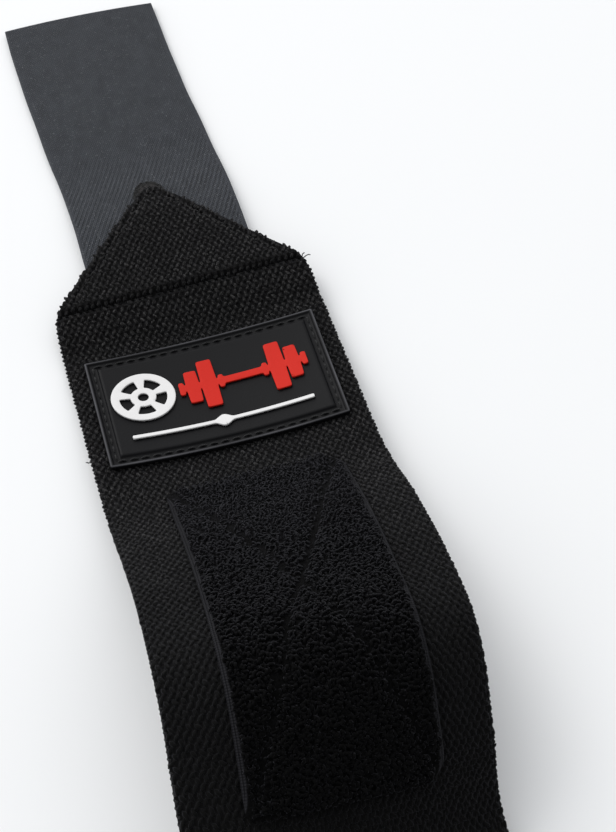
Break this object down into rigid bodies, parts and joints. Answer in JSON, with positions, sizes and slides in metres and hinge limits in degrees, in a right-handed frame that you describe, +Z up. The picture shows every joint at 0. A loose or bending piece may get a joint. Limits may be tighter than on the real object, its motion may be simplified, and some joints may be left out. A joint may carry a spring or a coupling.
{
  "type": "wrist wrap",
  "caption": "Elastic wrist wrap lying open: folded point with hook closing strap, rubber label, loop patch, and a plain hemmed free end.",
  "frame": {"origin": "middle of the bottom of the wrap's bounding box, on the surface that it lies on", "axes": "+Y along the wrap from its free end towards the tip of the closing strap, +X across it to the right, +Z up"},
  "size_m": [0.08, 0.4424, 0.0434],
  "materials": {
    "elastic": "matte woven elastic",
    "hook_tape": "satin ribbed tape",
    "label_rubber": "satin moulded rubber",
    "motif_red": "satin moulded rubber",
    "motif_white": "satin moulded rubber",
    "loop_tape": "matte looped pile"
  },
  "bodies": {
    "root": {"elastic_band": "elastic", "hook_strap": "hook_tape", "label_plate": "label_rubber", "motif_barbell": "motif_red", "motif_weight_plate": "motif_white", "motif_rule": "motif_white", "loop_patch": "loop_tape"}
  },
  "joints": []
}
